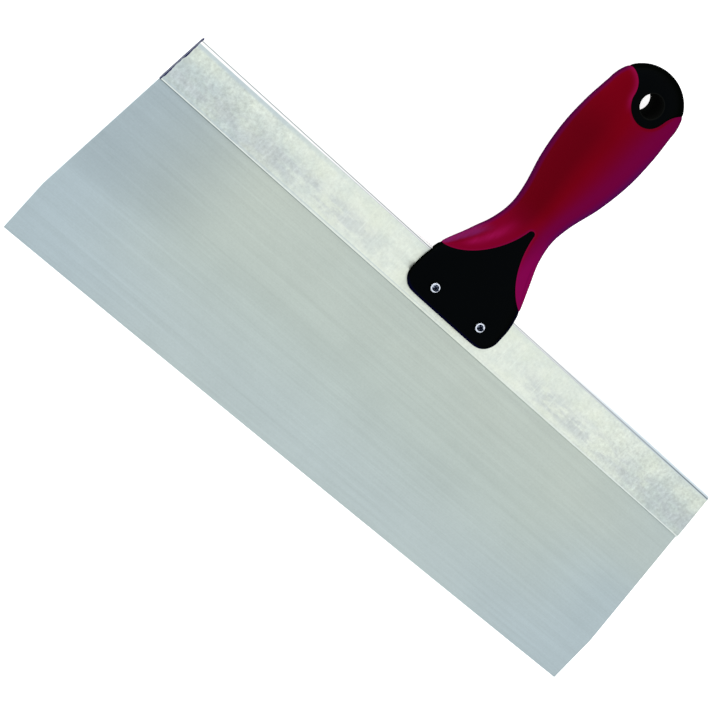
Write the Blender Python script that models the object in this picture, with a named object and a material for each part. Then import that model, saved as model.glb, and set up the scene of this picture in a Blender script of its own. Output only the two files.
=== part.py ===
"""Drywall taping knife, 12 inch, modelled as the six pieces it comes apart into.

Frame: metres, +Z up.  The knife lies flat with its front face up.  The origin is the middle of the
working edge, halfway through the blade.  +X runs along the edge and +Y runs up the handle.
"""

import math

import bmesh
import bpy
from mathutils import Vector

# Room left between two pieces that touch on the real tool.
GAP = 0.0003

# Blade: spring steel sheet with a slightly crowned working edge.
BLADE_WIDTH = 0.3048
BLADE_THICKNESS = 0.0005
EDGE_CROWN = 0.0004
SQUARE_DEPTH = 0.0223  # depth over which the sides stay square to the edge
EDGE_STEPS = 11

# Backing: one sheet folded over the top of the blade.
KNIFE_DEPTH = 0.1016  # working edge to the top of the fold
BACKING_HEIGHT = 0.0218
BACKING_SHEET = 0.0008
BACKING_TOP_WIDTH = 0.2888
FOLD_STEPS = 10

# Rivets: semi-tubular, rolled over on the front.
RIVET_SPACING = 0.0254
RIVET_Y = 0.0905
RIVET_SHANK = 0.0016  # radii
RIVET_ROLL = 0.00215
RIVET_BORE = 0.0012
RIVET_HEAD = 0.0034
RIVET_HEAD_HEIGHT = 0.0011
ROLL_HEIGHT = 0.0006
BORE_DEPTH = 0.0045
RIVET_SIDES = 24
DOME_STEPS = 5
ROLL_STEPS = 6

# Handle outline: distance from the working edge, half width, half thickness, squareness of the
# section, at the places where the shape changes.
HANDLE_STATIONS = (
    (0.0905, 0.0243, 0.0052, 4.6),
    (0.0975, 0.0240, 0.0056, 4.2),
    (0.1060, 0.0219, 0.0065, 3.4),
    (0.1160, 0.0173, 0.0077, 2.8),
    (0.1250, 0.0131, 0.0086, 2.4),
    (0.1340, 0.0113, 0.0092, 2.2),
    (0.1430, 0.0124, 0.0101, 2.2),
    (0.1560, 0.0161, 0.0114, 2.2),
    (0.1700, 0.0183, 0.0118, 2.2),
    (0.1830, 0.0185, 0.0108, 2.2),
    (0.1948, 0.0173, 0.0088, 2.5),
)
HANDLE_FRONT = 0.0832
HANDLE_TIP = 0.2120
CORNER_RADIUS = 0.0073  # front corners, seen from above
FRONT_EDGE_RADIUS = 0.0020  # front edge, seen from the side
TIP_BLUNTNESS = 2.6  # thickness law of the rounded end; 2 would be an ellipse
SECTION_SIDES = 40
SPINE_SIDES = 28
BODY_STEPS = 22
END_STEPS = 7

# Plastic core inside the soft grip.
GRIP_WALL_SIDE = 0.0028
GRIP_WALL_FACE = 0.0026
SPINE_START = 0.0960
SPINE_END = 0.2030
SPINE_SQUARENESS = 2.2

# Hang hole through the end of the handle.
HANG_HOLE_Y = 0.1977
HANG_HOLE_RADIUS = 0.0050
HOLE_SIDES = 32

# Line where soft grip meets bare plastic, seen from above (right half; the left half mirrors it).
TONGUE_CENTRE = (0.0250, 0.1350)
TONGUE_REACH = (0.0240, 0.0304)
TONGUE_POWER = 1.75
TONGUE_TIP_Y = 0.1306
END_RING_RADIUS = 0.0086
END_SHOULDER_RADIUS = 0.0100
END_SHOULDER_ANGLE = math.radians(-10.0)
LINE_STEPS = 12
TIP_STEPS = 6

# Cutting bodies reach this far past the handle.
CUTTER_HALF_WIDTH = 0.0400
CUTTER_HALF_HEIGHT = 0.0200


# ---------------------------------------------------------------- helpers

def clear_scene():
    """Remove whatever the file opened with."""
    for obj in list(bpy.data.objects):
        bpy.data.objects.remove(obj, do_unlink=True)


def make_object(name, vertices, faces):
    """Build a named object from plain vertices and faces, with its normals pointing out."""
    mesh = bpy.data.meshes.new(name)
    mesh.from_pydata([tuple(v) for v in vertices], [], faces)
    shell = bmesh.new()
    shell.from_mesh(mesh)
    bmesh.ops.recalc_face_normals(shell, faces=shell.faces)
    shell.to_mesh(mesh)
    shell.free()
    obj = bpy.data.objects.new(name, mesh)
    bpy.context.scene.collection.objects.link(obj)
    return obj


def smooth(obj, angle=40.0):
    """Shade the object smooth, keeping its edges sharp."""
    obj.data.shade_smooth()
    obj.data.set_sharp_from_angle(angle=math.radians(angle))


def make_guide(obj):
    """Mark a cutting body, so that it is never taken for a piece of the knife."""
    obj.hide_render = True
    obj.display_type = "WIRE"
    return obj


def boolean(obj, tool, operation):
    """Cut, join or keep the overlap of an object and a cutting body."""
    modifier = obj.modifiers.new(f"{operation.lower()}_{tool.name}", "BOOLEAN")
    modifier.operation = operation
    modifier.solver = "EXACT"
    modifier.object = tool


def finish(obj, name, colour, metallic, roughness):
    """Give the object its own material."""
    material = bpy.data.materials.new(name)
    material.use_nodes = True
    shader = material.node_tree.nodes["Principled BSDF"]
    shader.inputs["Base Color"].default_value = (*colour, 1.0)
    shader.inputs["Metallic"].default_value = metallic
    shader.inputs["Roughness"].default_value = roughness
    obj.data.materials.clear()
    obj.data.materials.append(material)


def loft(name, rings):
    """Skin a row of equal rings; a ring of one point closes that end to a tip."""
    vertices = []
    starts = []
    for ring in rings:
        starts.append(len(vertices))
        vertices.extend(ring)
    faces = []
    for lower, upper, low, high in zip(rings, rings[1:], starts, starts[1:]):
        sides = max(len(lower), len(upper))
        for i in range(sides):
            j = (i + 1) % sides
            if len(upper) == 1:
                faces.append((low + i, low + j, high))
            elif len(lower) == 1:
                faces.append((low, high + j, high + i))
            else:
                faces.append((low + i, low + j, high + j, high + i))
    if len(rings[0]) > 1:
        faces.append(tuple(reversed(range(len(rings[0])))))
    if len(rings[-1]) > 1:
        faces.append(tuple(range(starts[-1], starts[-1] + len(rings[-1]))))
    return make_object(name, vertices, faces)


def prism(name, outline, half_height):
    """Extrude a closed outline of (x, y) points equally above and below the XY plane."""
    lower = [Vector((x, y, -half_height)) for x, y in outline]
    upper = [Vector((x, y, half_height)) for x, y in outline]
    return loft(name, [lower, upper])


def lathe(name, profile, sides):
    """Turn a profile of (radius, height) points about the Z axis."""
    rings = []
    for radius, height in profile:
        count = sides if radius > 0.0 else 1
        turns = [2.0 * math.pi * i / sides for i in range(count)]
        rings.append([Vector((radius * math.cos(a), radius * math.sin(a), height)) for a in turns])
    return loft(name, rings)


def arc(centre, radius, start, end, steps):
    """Points along a circular arc, both ends included."""
    angles = [start + (end - start) * i / steps for i in range(steps + 1)]
    return [(centre[0] + radius * math.cos(a), centre[1] + radius * math.sin(a)) for a in angles]


def drill(name, x, y, radius):
    """A round cutting body along Z."""
    outline = arc((x, y), radius, 0.0, 2.0 * math.pi, HOLE_SIDES)[:-1]
    return make_guide(prism(name, outline, CUTTER_HALF_HEIGHT))


# ---------------------------------------------------------------- blade and backing

def side_half_width(y):
    """Half width of blade and backing at a distance from the working edge."""
    half = BLADE_WIDTH / 2.0
    if y <= SQUARE_DEPTH:
        return half
    along = (y - SQUARE_DEPTH) / (KNIFE_DEPTH - SQUARE_DEPTH)
    return half + (BACKING_TOP_WIDTH / 2.0 - half) * along


def fold_inner_radius():
    """Inside radius of the fold, which clears the blade on both faces."""
    return BLADE_THICKNESS / 2.0 + GAP


def fold_outer_radius():
    """Outside radius of the fold, which is also half the backing's thickness."""
    return fold_inner_radius() + BACKING_SHEET


def fold_centre_y():
    """Where the flanges end and the fold's bend begins."""
    return KNIFE_DEPTH - fold_outer_radius()


def edge_point(i):
    """A point on the crowned working edge, counted from the left."""
    x = BLADE_WIDTH * (i / EDGE_STEPS - 0.5)
    return (x, EDGE_CROWN * (2.0 * x / BLADE_WIDTH) ** 2)


def build_blade():
    """The sheet steel blade, hidden above the flanges' lower edge inside the backing."""
    top = fold_centre_y()
    outline = [edge_point(i) for i in range(EDGE_STEPS + 1)]
    outline += [(side_half_width(SQUARE_DEPTH), SQUARE_DEPTH), (side_half_width(top), top)]
    outline += [(-side_half_width(top), top), (-side_half_width(SQUARE_DEPTH), SQUARE_DEPTH)]
    blade = prism("blade", outline, BLADE_THICKNESS / 2.0)
    finish(blade, "blade_steel", (0.52, 0.56, 0.53), 1.0, 0.38)
    return blade


def build_backing():
    """The folded channel that stiffens the blade's top edge."""
    outer = fold_outer_radius()
    inner = fold_inner_radius()
    bend_y = fold_centre_y()
    flange_y = KNIFE_DEPTH - BACKING_HEIGHT
    quarter = math.pi / 2.0
    profile = [(flange_y, outer)]
    profile += arc((bend_y, 0.0), outer, quarter, -quarter, FOLD_STEPS)
    profile += [(flange_y, -outer), (flange_y, -inner)]
    profile += arc((bend_y, 0.0), inner, -quarter, quarter, FOLD_STEPS)
    profile += [(flange_y, inner)]
    left = [Vector((-side_half_width(y), y, z)) for y, z in profile]
    right = [Vector((side_half_width(y), y, z)) for y, z in profile]
    backing = loft("backing", [left, right])
    finish(backing, "backing_zinc", (0.66, 0.70, 0.64), 1.0, 0.45)
    return backing


# ---------------------------------------------------------------- handle

def hermite(a, b, slope_a, slope_b, span, t):
    """Cubic between two values that keeps the slope given at each end."""
    t2 = t * t
    t3 = t2 * t
    value = a * (2.0 * t3 - 3.0 * t2 + 1.0) + b * (3.0 * t2 - 2.0 * t3)
    return value + span * (slope_a * (t3 - 2.0 * t2 + t) + slope_b * (t3 - t2))


def station_slope(i, column):
    """Slope of a station column, from the stations on either side."""
    before = HANDLE_STATIONS[max(i - 1, 0)]
    after = HANDLE_STATIONS[min(i + 1, len(HANDLE_STATIONS) - 1)]
    return (after[column] - before[column]) / (after[0] - before[0])


def station_value(y, column):
    """Smooth value of a station column at a distance from the working edge."""
    y = min(max(y, HANDLE_STATIONS[0][0]), HANDLE_STATIONS[-1][0])
    i = 0
    while i < len(HANDLE_STATIONS) - 2 and y > HANDLE_STATIONS[i + 1][0]:
        i += 1
    first = HANDLE_STATIONS[i]
    second = HANDLE_STATIONS[i + 1]
    span = second[0] - first[0]
    slopes = station_slope(i, column), station_slope(i + 1, column)
    return hermite(first[column], second[column], *slopes, span, (y - first[0]) / span)


def handle_half_width(y):
    """Half width of the whole handle, with round front corners and a round end."""
    width = station_value(y, 1)
    corner = HANDLE_FRONT + CORNER_RADIUS
    if y < corner:
        width += math.sqrt(max(CORNER_RADIUS**2 - (corner - y) ** 2, 0.0)) - CORNER_RADIUS
    end = HANDLE_STATIONS[-1][0]
    if y > end:
        along = min((y - end) / (HANDLE_TIP - end), 1.0)
        width *= math.sqrt(1.0 - along**2)
    return width


def handle_half_thickness(y):
    """Half thickness of the whole handle, with a rounded front edge and a blunt end."""
    thickness = station_value(y, 2)
    edge = HANDLE_FRONT + FRONT_EDGE_RADIUS
    if y < edge:
        drop = math.sqrt(max(FRONT_EDGE_RADIUS**2 - (edge - y) ** 2, 0.0)) - FRONT_EDGE_RADIUS
        thickness += drop
    end = HANDLE_STATIONS[-1][0]
    if y > end:
        along = min((y - end) / (HANDLE_TIP - end), 1.0)
        thickness *= (1.0 - along**TIP_BLUNTNESS) ** (1.0 / TIP_BLUNTNESS)
    return thickness


def section(y, half_width, half_thickness, squareness, sides):
    """One superellipse section across the handle."""
    ring = []
    for i in range(sides):
        turn = 2.0 * math.pi * i / sides
        c = math.cos(turn)
        s = math.sin(turn)
        x = half_width * math.copysign(abs(c) ** (2.0 / squareness), c)
        z = half_thickness * math.copysign(abs(s) ** (2.0 / squareness), s)
        ring.append(Vector((x, y, z)))
    return ring


def outer_section(y):
    """The section of the whole handle at one station."""
    squareness = station_value(y, 3)
    return section(y, handle_half_width(y), handle_half_thickness(y), squareness, SECTION_SIDES)


def handle_envelope(name):
    """The outside of the whole handle: jaw, neck, belly and round end."""
    body_start = HANDLE_FRONT + CORNER_RADIUS
    body_end = HANDLE_STATIONS[-1][0]
    quarter = math.pi / 2.0
    front = [body_start - CORNER_RADIUS * math.cos(quarter * i / END_STEPS) for i in range(END_STEPS)]
    body = [body_start + (body_end - body_start) * i / BODY_STEPS for i in range(BODY_STEPS)]
    tip_length = HANDLE_TIP - body_end
    back = [body_end + tip_length * math.sin(quarter * i / END_STEPS) for i in range(END_STEPS)]
    rings = [outer_section(y) for y in front + body + back]
    rings.append([Vector((0.0, HANDLE_TIP, 0.0))])
    return loft(name, rings)


def spine_body(name, growth):
    """The plastic spine inside the soft grip, grown on all sides by the given amount."""
    start = SPINE_START - growth
    end = SPINE_END + growth
    rings = []
    for i in range(BODY_STEPS + 1):
        y = start + (end - start) * i / BODY_STEPS
        half_width = handle_half_width(y) - GRIP_WALL_SIDE + growth
        half_thickness = handle_half_thickness(y) - GRIP_WALL_FACE + growth
        rings.append(section(y, half_width, half_thickness, SPINE_SQUARENESS, SPINE_SIDES))
    return make_guide(loft(name, rings))


def tongue_flank(growth):
    """Right side of the bare plastic tongue on the neck, from its tip down to the handle's side."""
    reach_x = TONGUE_REACH[0] + growth
    reach_y = TONGUE_REACH[1] + growth
    start = (TONGUE_CENTRE[1] - TONGUE_TIP_Y) / reach_y
    points = []
    for i in range(LINE_STEPS + 1):
        down = start + (1.0 - start) * math.sin(math.pi / 2.0 * i / LINE_STEPS)
        across = max(1.0 - down**TONGUE_POWER, 0.0) ** (1.0 / TONGUE_POWER)
        points.append((TONGUE_CENTRE[0] - reach_x * across, TONGUE_CENTRE[1] - reach_y * down))
    return points


def end_flank(growth):
    """Right side of the line round the hang hole, from the middle out to the handle's side."""
    centre = (0.0, HANG_HOLE_Y)
    ring = END_RING_RADIUS - growth
    shoulder = END_SHOULDER_RADIUS + growth
    offset = END_RING_RADIUS + END_SHOULDER_RADIUS
    shoulder_centre = (
        offset * math.cos(END_SHOULDER_ANGLE),
        HANG_HOLE_Y + offset * math.sin(END_SHOULDER_ANGLE),
    )
    points = arc(centre, ring, -math.pi / 2.0, END_SHOULDER_ANGLE, LINE_STEPS)
    turn = math.pi + END_SHOULDER_ANGLE
    points += arc(shoulder_centre, shoulder, turn, math.pi / 2.0, LINE_STEPS)[1:]
    return points


def grip_zone(name, growth):
    """The stretch of the handle covered by the soft grip, as an upright cutting body."""
    flank = tongue_flank(growth)
    tip = arc((0.0, TONGUE_TIP_Y), flank[0][0], math.pi / 2.0, 0.0, TIP_STEPS)
    lower = tip[:-1] + flank
    upper = end_flank(growth)
    right = lower + [(CUTTER_HALF_WIDTH, lower[-1][1]), (CUTTER_HALF_WIDTH, upper[-1][1])]
    right += list(reversed(upper))
    left = [(-x, y) for x, y in reversed(right[1:-1])]
    return make_guide(prism(name, right + left, CUTTER_HALF_HEIGHT))


def slot_cutter():
    """The slot in the jaw that takes the folded backing."""
    radius = fold_outer_radius() + GAP
    bend_y = fold_centre_y()
    quarter = math.pi / 2.0
    profile = [(HANDLE_FRONT - CUTTER_HALF_HEIGHT, radius)]
    profile += arc((bend_y, 0.0), radius, quarter, -quarter, FOLD_STEPS)
    profile += [(HANDLE_FRONT - CUTTER_HALF_HEIGHT, -radius)]
    left = [Vector((-CUTTER_HALF_WIDTH, y, z)) for y, z in profile]
    right = [Vector((CUTTER_HALF_WIDTH, y, z)) for y, z in profile]
    return make_guide(loft("jaw_slot_cutter", [left, right]))


def build_handle_core():
    """Hard plastic: forked jaw, tongue, spine inside the grip, and end with the hang hole."""
    core = handle_envelope("handle_core")
    boolean(core, grip_zone("core_zone_cutter", GAP / 2.0), "DIFFERENCE")
    boolean(core, spine_body("spine_body", 0.0), "UNION")
    boolean(core, slot_cutter(), "DIFFERENCE")
    boolean(core, drill("hang_hole_cutter", 0.0, HANG_HOLE_Y, HANG_HOLE_RADIUS), "DIFFERENCE")
    smooth(core)
    finish(core, "core_plastic", (0.012, 0.012, 0.014), 0.0, 0.42)
    return core


def build_soft_grip():
    """Soft rubber sleeve moulded round the spine, open at the jaw and round the hang hole."""
    grip = handle_envelope("soft_grip")
    boolean(grip, grip_zone("grip_zone_keeper", -GAP / 2.0), "INTERSECT")
    boolean(grip, spine_body("spine_cavity", GAP), "DIFFERENCE")
    smooth(grip)
    finish(grip, "grip_rubber", (0.33, 0.006, 0.03), 0.0, 0.55)
    return grip


# ---------------------------------------------------------------- rivets

def rivet_profile():
    """Rivet from the rear head's crown round to the bottom of the front bore."""
    seat = station_value(RIVET_Y, 2) + GAP
    lip = (RIVET_ROLL - RIVET_BORE) / 2.0
    profile = [(0.0, -seat - RIVET_HEAD_HEIGHT)]
    dome = arc((0.0, 0.0), 1.0, -math.pi / 2.0, 0.0, DOME_STEPS)
    profile += [(RIVET_HEAD * x, -seat + RIVET_HEAD_HEIGHT * y) for x, y in dome[1:]]
    profile += [(RIVET_SHANK, -seat), (RIVET_SHANK, seat)]
    roll = arc((0.0, 0.0), 1.0, 0.0, math.pi, ROLL_STEPS)
    profile += [(RIVET_BORE + lip + lip * x, seat + ROLL_HEIGHT * y) for x, y in roll]
    profile += [(RIVET_BORE, seat - BORE_DEPTH), (0.0, seat - BORE_DEPTH)]
    return profile


def build_rivet(name, x):
    """One semi-tubular rivet through jaw, backing and blade."""
    rivet = lathe(name, rivet_profile(), RIVET_SIDES)
    rivet.location = (x, RIVET_Y, 0.0)
    smooth(rivet)
    finish(rivet, f"{name}_nickel", (0.86, 0.87, 0.89), 1.0, 0.22)
    return rivet


def main():
    clear_scene()
    blade = build_blade()
    backing = build_backing()
    core = build_handle_core()
    build_soft_grip()
    for side, x in (("left", -RIVET_SPACING / 2.0), ("right", RIVET_SPACING / 2.0)):
        build_rivet(f"rivet_{side}", x)
        hole = drill(f"rivet_hole_{side}", x, RIVET_Y, RIVET_SHANK + GAP)
        for piece in (blade, backing, core):
            boolean(piece, hole, "DIFFERENCE")


main()
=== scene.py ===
"""The looks of a 12 inch drywall taping knife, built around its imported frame.

Frame: metres, +Z up, front face up.  The origin is the middle of the working edge.  +X runs along
the edge and +Y runs up the handle.
"""

import math

import bmesh
import bpy
import numpy as np
from mathutils import Euler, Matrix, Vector


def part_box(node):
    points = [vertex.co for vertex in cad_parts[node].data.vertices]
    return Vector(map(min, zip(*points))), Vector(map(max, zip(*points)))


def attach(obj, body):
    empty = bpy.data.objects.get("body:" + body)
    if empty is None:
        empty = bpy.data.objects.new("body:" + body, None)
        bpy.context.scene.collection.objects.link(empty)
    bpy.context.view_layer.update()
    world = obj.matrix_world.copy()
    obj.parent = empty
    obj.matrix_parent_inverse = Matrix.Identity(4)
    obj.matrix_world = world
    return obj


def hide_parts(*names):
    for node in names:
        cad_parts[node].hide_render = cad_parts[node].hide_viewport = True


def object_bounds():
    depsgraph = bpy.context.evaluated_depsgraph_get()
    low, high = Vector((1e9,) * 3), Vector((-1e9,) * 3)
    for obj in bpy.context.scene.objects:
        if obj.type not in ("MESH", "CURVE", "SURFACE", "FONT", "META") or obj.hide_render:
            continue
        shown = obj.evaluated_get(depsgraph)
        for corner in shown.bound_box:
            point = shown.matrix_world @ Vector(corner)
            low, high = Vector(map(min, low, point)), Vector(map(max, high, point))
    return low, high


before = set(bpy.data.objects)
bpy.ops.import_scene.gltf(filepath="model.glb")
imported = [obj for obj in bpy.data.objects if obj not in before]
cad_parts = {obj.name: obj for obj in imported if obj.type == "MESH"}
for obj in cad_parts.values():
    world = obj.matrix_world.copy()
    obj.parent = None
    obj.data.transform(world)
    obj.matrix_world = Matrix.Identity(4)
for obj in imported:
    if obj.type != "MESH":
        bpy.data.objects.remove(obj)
CAD_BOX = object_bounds()
BLADE_LOW, BLADE_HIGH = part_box("blade")
BACKING_LOW, BACKING_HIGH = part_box("backing")
CORE_LOW, CORE_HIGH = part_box("handle_core")
RIVET_LOW, RIVET_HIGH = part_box("rivet_right")

MM = 0.001
QUARTER = math.pi / 2.0
MERGE_DISTANCE = 0.005 * MM

# Blade and backing.
HALF_WIDTH = BLADE_HIGH.x
HALF_TOP_WIDTH = 144.4 * MM
SQUARE_DEPTH = 22.3 * MM  # depth over which the sides stay square to the edge
EDGE_CROWN = 0.4 * MM
EDGE_STEPS = 60
BLADE_BEVEL = 0.07 * MM
KNIFE_DEPTH = BACKING_HIGH.y
FLANGE_EDGE = BACKING_LOW.y
FOLD_RADIUS = BACKING_HIGH.z
FOLD_SHEET = 0.8 * MM
FOLD_CENTRE = KNIFE_DEPTH - FOLD_RADIUS
FOLD_STEPS = 28
CREASE_DEPTH = 0.10 * MM  # fine line pressed into the sheet just past the start of the bend
CREASE_WIDTH = 0.14 * MM
CREASE_OFFSET = 0.16 * MM
LIP_LENGTH = 2.4 * MM  # stretch over which the flange closes onto the blade
LIP_DROP = 0.27 * MM
LIP_RADIUS = 0.35 * MM
BACKING_BEVEL = 0.12 * MM

# Rivets.
RIVET_X = (RIVET_LOW.x + RIVET_HIGH.x) / 2.0
RIVET_Y = (RIVET_LOW.y + RIVET_HIGH.y) / 2.0
RIVET_TOP = RIVET_HIGH.z
RIVET_BOTTOM = RIVET_LOW.z
RIVET_HEAD = (RIVET_HIGH.x - RIVET_LOW.x) / 2.0
RIVET_SHANK = 1.6 * MM
RIVET_ROLL = 2.05 * MM
RIVET_BORE = 1.20 * MM
RIVET_HOLE = 1.75 * MM
ROLL_HEIGHT = 0.6 * MM
HEAD_HEIGHT = 1.1 * MM
BORE_DEPTH = 4.0 * MM
RIVET_SIDES = 96
ROLL_SPLITS = 6
ROLL_SPLIT_DEPTH = 0.10 * MM
BORE_SHADE_SHIFT = 0.30 * MM  # the painted shade in the bore sits a little to the right

# Handle: distance from the working edge, half width, half thickness, squareness of the section.
STATIONS = np.array((
    (0.0905, 0.0243, 0.0052, 4.6),
    (0.0975, 0.0240, 0.0056, 4.2),
    (0.1060, 0.0219, 0.0065, 3.0),
    (0.1160, 0.0173, 0.0077, 2.5),
    (0.1250, 0.0131, 0.0086, 2.3),
    (0.1340, 0.0113, 0.0092, 2.2),
    (0.1430, 0.0124, 0.0101, 2.2),
    (0.1560, 0.0161, 0.0114, 2.2),
    (0.1700, 0.0183, 0.0118, 2.2),
    (0.1830, 0.0185, 0.0108, 2.2),
    (0.1948, 0.0173, 0.0088, 2.5),
))
HANDLE_FRONT = CORE_LOW.y
HANDLE_TIP = CORE_HIGH.y
CORE_TOP = CAD_BOX[1][2]  # the handle is the thickest part of the knife
BODY_END = STATIONS[-1, 0]
CORNER_RADIUS = 7.3 * MM
FRONT_EDGE_RADIUS = 2.0 * MM
TIP_BLUNTNESS = 2.6
SECTION_SIDES = 200
SECTION_SAMPLES = 600
SPINE_SIDES = 48

# Soft grip's border with the bare plastic, seen from above.
TONGUE_CENTRE = (25.0 * MM, 135.0 * MM)
TONGUE_REACH = (24.0 * MM, 30.4 * MM)
TONGUE_POWER = 1.75
TONGUE_TIP_Y = 130.6 * MM
HOLE_Y = 197.7 * MM
HOLE_RADIUS = 5.0 * MM
RING_RADIUS = 8.6 * MM
SHOULDER_RADIUS = 10.0 * MM
SHOULDER_ANGLE = math.radians(-10.0)
LINE_STEPS = 40
BORDER_GAP = 0.10 * MM
BORDER_DIP = 0.26 * MM
BORDER_WIDTH = 0.55 * MM
GRIP_WALL = 2.6 * MM
SPINE_START = 96.0 * MM
SPINE_END = 203.0 * MM
SLOT_CLEARANCE = 0.03 * MM
CUTTER_WIDTH = 40.0 * MM
CUTTER_HEIGHT = 20.0 * MM

# Scooped wings of the grip on both sides of the tongue.
SCOOP_START = 104.5 * MM
SCOOP_DEEPEST = 111.0 * MM
SCOOP_FADE = 117.0 * MM
SCOOP_END = 127.0 * MM
SCOOP_DEPTH = 0.85 * MM
SCOOP_CENTRE = 0.76  # share of the way from the tongue to the handle's outline
SCOOP_SPREAD = 0.13
# Place and spread of the painted highlight on each wing, as a share from the tongue to the outline.
CREST_CENTRE = 0.56
CREST_SPREAD = 0.17
BORDER_HIGHLIGHT_WIDTH = 0.45 * MM  # width of the painted highlight line along the grip's border
# Width of the painted highlight along the grip's border round the end.
SHOULDER_HIGHLIGHT_WIDTH = 1.5 * MM

# Lean of the handle's sides: a little narrower behind than in front.
LEAN = 0.35 * MM
JAW_LEAN = 2.1 * MM
LEAN_HEIGHT = 4.0 * MM

# Rounded mouths of the hang hole and shallow seats of the rivets.
HOLE_LIP = 1.6 * MM
HOLE_LIP_DEPTH = 0.45 * MM
SEAT_RADIUS = 2.6 * MM
SEAT_DEPTH = 0.22 * MM


# ---------------------------------------------------------------- mesh helpers

def make_object(name, vertices, faces):
    """A named object from plain vertices and faces, with its normals pointing out."""
    mesh = bpy.data.meshes.new(name)
    mesh.from_pydata([tuple(map(float, v)) for v in vertices], [], faces)
    shell = bmesh.new()
    shell.from_mesh(mesh)
    bmesh.ops.recalc_face_normals(shell, faces=shell.faces)
    shell.to_mesh(mesh)
    shell.free()
    obj = bpy.data.objects.new(name, mesh)
    bpy.context.scene.collection.objects.link(obj)
    return obj


def loft(name, rings):
    """Skin a row of equal rings and cap both ends; a ring of one point is a tip."""
    vertices = []
    starts = []
    for ring in rings:
        starts.append(len(vertices))
        vertices.extend(ring)
    faces = []
    for lower, upper, low, high in zip(rings, rings[1:], starts, starts[1:]):
        sides = max(len(lower), len(upper))
        for i in range(sides):
            j = (i + 1) % sides
            if len(upper) == 1:
                faces.append((low + i, low + j, high))
            elif len(lower) == 1:
                faces.append((low, high + j, high + i))
            else:
                faces.append((low + i, low + j, high + j, high + i))
    if len(rings[0]) > 1:
        faces.append(tuple(reversed(range(len(rings[0])))))
    if len(rings[-1]) > 1:
        faces.append(tuple(range(starts[-1], starts[-1] + len(rings[-1]))))
    return make_object(name, vertices, faces)


def prism(name, outline, half_height):
    """Extrude a closed outline of (x, y) points equally above and below the XY plane."""
    lower = [(x, y, -half_height) for x, y in outline]
    upper = [(x, y, half_height) for x, y in outline]
    return loft(name, [lower, upper])


def arc(centre, radius, start, end, steps):
    """Points along a circular arc, both ends included."""
    angles = [start + (end - start) * i / steps for i in range(steps + 1)]
    return [(centre[0] + radius * math.cos(a), centre[1] + radius * math.sin(a)) for a in angles]


def drill(name, x, y, radius, sides=72):
    """A round cutting body along Z."""
    outline = arc((x, y), radius, 0.0, 2.0 * math.pi, sides)[:-1]
    return prism(name, outline, CUTTER_HEIGHT)


def bake(obj):
    """Replace an object's mesh with what its modifiers make of it."""
    evaluated = obj.evaluated_get(bpy.context.evaluated_depsgraph_get())
    mesh = bpy.data.meshes.new_from_object(evaluated)
    obj.modifiers.clear()
    obj.data = mesh
    mesh.name = obj.name


def carve(obj, tool, operation):
    """Cut, join or keep the overlap of an object and a tool, and remove the tool."""
    modifier = obj.modifiers.new(operation, "BOOLEAN")
    modifier.operation = operation
    modifier.solver = "EXACT"
    modifier.object = tool
    bpy.context.view_layer.update()
    bake(obj)
    bpy.data.objects.remove(tool, do_unlink=True)


def drop_idle_points(shell):
    """Dissolve points that only lie along one edge between the same two faces."""
    idle = [v for v in shell.verts if len(v.link_edges) == 2]
    bmesh.ops.dissolve_verts(shell, verts=idle)


def clean(obj):
    """Remove the idle points and slivers that cutting leaves, and split many-sided faces."""
    shell = bmesh.new()
    shell.from_mesh(obj.data)
    drop_idle_points(shell)
    bmesh.ops.remove_doubles(shell, verts=shell.verts, dist=MERGE_DISTANCE)
    bmesh.ops.dissolve_degenerate(shell, dist=MERGE_DISTANCE, edges=shell.edges)
    drop_idle_points(shell)
    many_sided = [f for f in shell.faces if len(f.verts) > 4]
    bmesh.ops.triangulate(shell, faces=many_sided, ngon_method="BEAUTY")
    bmesh.ops.dissolve_degenerate(shell, dist=MERGE_DISTANCE, edges=shell.edges)
    shell.to_mesh(obj.data)
    shell.free()


def soften_edges(obj, width, segments, angle):
    """Round the edges that are sharper than an angle."""
    modifier = obj.modifiers.new("soft_edges", "BEVEL")
    modifier.width = width
    modifier.segments = segments
    modifier.limit_method = "ANGLE"
    modifier.angle_limit = math.radians(angle)
    modifier.harden_normals = False
    bpy.context.view_layer.update()
    bake(obj)


def shade(obj, angle=35.0):
    """Shade smooth, keeping edges sharper than an angle."""
    obj.data.shade_smooth()
    obj.data.set_sharp_from_angle(angle=math.radians(angle))


def coordinates(mesh):
    """A mesh's vertices as an array."""
    flat = np.empty(len(mesh.vertices) * 3)
    mesh.vertices.foreach_get("co", flat)
    return flat.reshape(-1, 3)


def normals(mesh):
    """A mesh's vertex normals as an array."""
    flat = np.empty(len(mesh.vertices) * 3)
    mesh.vertices.foreach_get("normal", flat)
    return flat.reshape(-1, 3)


def sink(obj, depth):
    """Move each vertex inwards along its normal by its own depth."""
    moved = coordinates(obj.data) - normals(obj.data) * depth[:, None]
    obj.data.vertices.foreach_set("co", moved.ravel())
    obj.data.update()


def smoothstep(low, high, value):
    """0 below low, 1 above high, and an S-curve between."""
    t = np.clip((value - low) / (high - low), 0.0, 1.0)
    return t * t * (3.0 - 2.0 * t)


# ---------------------------------------------------------------- blade and backing

def side_half_width(y):
    """Half width of blade and backing at a distance from the working edge."""
    if y <= SQUARE_DEPTH:
        return HALF_WIDTH
    along = (y - SQUARE_DEPTH) / (KNIFE_DEPTH - SQUARE_DEPTH)
    return HALF_WIDTH + (HALF_TOP_WIDTH - HALF_WIDTH) * along


def edge_point(i):
    """A point on the crowned working edge, counted from the left."""
    across = 2.0 * i / EDGE_STEPS - 1.0
    return (HALF_WIDTH * across, max(EDGE_CROWN * across**2, BLADE_LOW.y))


def drill_rivet_holes(obj):
    """Cut both rivet holes through a piece."""
    for side, x in (("left", -RIVET_X), ("right", RIVET_X)):
        carve(obj, drill(f"hole_{side}", x, RIVET_Y, RIVET_HOLE), "DIFFERENCE")


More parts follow.
